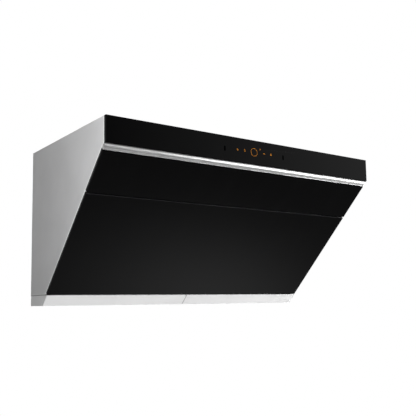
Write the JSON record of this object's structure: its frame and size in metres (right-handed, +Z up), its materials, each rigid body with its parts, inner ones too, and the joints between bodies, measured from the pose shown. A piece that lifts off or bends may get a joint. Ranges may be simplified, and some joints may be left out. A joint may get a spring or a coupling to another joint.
{
  "type": "wall-mounted side-draft range hood",
  "caption": "Slanted wall range hood with black glass front, glass flap on gooseneck arms, lamp strip, squirrel-cage fan, duct damper and two sliding grease cups.",
  "frame": {"origin": "centre of the four wall screw holes, on the wall plane", "axes": "+X across the width to the right as seen from the room, +Y into the wall, +Z up"},
  "size_m": [0.895, 0.459, 0.496],
  "materials": {
    "casing_steel": "satin grey paint, slightly rough",
    "cup_steel": "satin light grey paint",
    "inner_steel": "brushed",
    "zinc_steel": "zinc plated sheet",
    "front_glass": "black, glossy, opaque",
    "window_glass": "dark smoked window",
    "black_frame": "black",
    "frame_aluminium": "black anodised",
    "strip_aluminium": "satin anodised",
    "diffuser": "frosted",
    "circuit_board": "green lacquer",
    "filter_aluminium": "satin",
    "fan_plastic": "dark grey",
    "motor_metal": "black paint",
    "shaft_steel": "ground steel",
    "arm_steel": "brushed",
    "screw_steel": "plated",
    "rubber": "matt",
    "collar_plastic": "black",
    "box_plastic": "light grey",
    "capacitor_can": "drawn can"
  },
  "bodies": {
    "casing": {"side_panel_left": "casing_steel", "side_panel_right": "casing_steel", "top_panel": "casing_steel", "gland_plate": "zinc_steel", "duct_collar": "collar_plastic", "collar_flange": "collar_plastic", "damper_stop": "collar_plastic", "damper_pin": "shaft_steel", "back_panel": "zinc_steel", "wall_bracket": "zinc_steel", "hanger_rail": "zinc_steel", "front_channel": "zinc_steel", "bottom_rail": "zinc_steel", "fascia_glass": "front_glass", "sensor_windows": "window_glass", "fascia_frame": "black_frame", "touch_board": "circuit_board", "trim_strip": "strip_aluminium", "lamp_diffuser": "diffuser", "lamp_board": "circuit_board", "upper_glass": "front_glass", "upper_frame": "frame_aluminium", "pivot_bracket_left": "zinc_steel", "pivot_bracket_right": "zinc_steel", "flap_gearmotor": "motor_metal", "flap_bumpers": "rubber", "inlet_liner": "inner_steel", "grease_filter": "filter_aluminium", "fan_scroll": "zinc_steel", "fan_inlet_ring": "zinc_steel", "outlet_transition": "zinc_steel", "motor_mount": "zinc_steel", "fan_motor": "motor_metal", "control_box": "box_plastic", "run_capacitor": "capacitor_can", "capacitor_clip": "zinc_steel", "cable_gland": "collar_plastic", "cup_rails": "zinc_steel", "casing_screws": "screw_steel", "collar_screws": "screw_steel", "fan_screws": "screw_steel"},
    "flap": {"flap_glass": "front_glass", "flap_frame": "frame_aluminium", "gooseneck_left": "arm_steel", "gooseneck_right": "arm_steel", "pivot_pin": "shaft_steel", "drive_shaft": "shaft_steel"},
    "fan": {"impeller": "fan_plastic", "motor_shaft": "shaft_steel", "impeller_nut": "shaft_steel"},
    "damper_left": {"damper_flap_left": "collar_plastic"},
    "damper_right": {"damper_flap_right": "collar_plastic"},
    "cup_left": {"grease_cup_left": "cup_steel", "cup_wall_plate_left": "cup_steel"},
    "cup_right": {"grease_cup_right": "cup_steel", "cup_wall_plate_right": "cup_steel"},
    "latch_left": {"filter_latch_left": "arm_steel"},
    "latch_right": {"filter_latch_right": "arm_steel"}
  },
  "joints": [
    {"name": "flap_hinge", "type": "hinge", "parent": "casing", "child": "flap", "pos_m": [0, -0.38122, -0.07091], "axis": [-1, 0, 0], "range_deg": [0, 90]},
    {"name": "fan_spin", "type": "hinge", "parent": "casing", "child": "fan", "pos_m": [-0.085, -0.08, -0.105], "axis": [0, -1, 0], "continuous": true},
    {"name": "damper_left_hinge", "type": "hinge", "parent": "casing", "child": "damper_left", "pos_m": [0, -0.105, 0.076], "axis": [0, 1, 0], "range_deg": [0, 75]},
    {"name": "damper_right_hinge", "type": "hinge", "parent": "casing", "child": "damper_right", "pos_m": [0, -0.105, 0.076], "axis": [0, -1, 0], "range_deg": [0, 75]},
    {"name": "cup_left_slide", "type": "slide", "parent": "casing", "child": "cup_left", "axis": [0, -1, 0], "range_m": [0, 0.095]},
    {"name": "cup_right_slide", "type": "slide", "parent": "casing", "child": "cup_right", "axis": [0, -1, 0], "range_m": [0, 0.095]},
    {"name": "filter_latch_left_slide", "type": "slide", "parent": "casing", "child": "latch_left", "axis": [1, 0, 0], "range_m": [0, 0.007], "stiffness_N_per_m": 400, "springref_m": -0.004},
    {"name": "filter_latch_right_slide", "type": "slide", "parent": "casing", "child": "latch_right", "axis": [-1, 0, 0], "range_m": [0, 0.007], "stiffness_N_per_m": 400, "springref_m": -0.004}
  ]
}
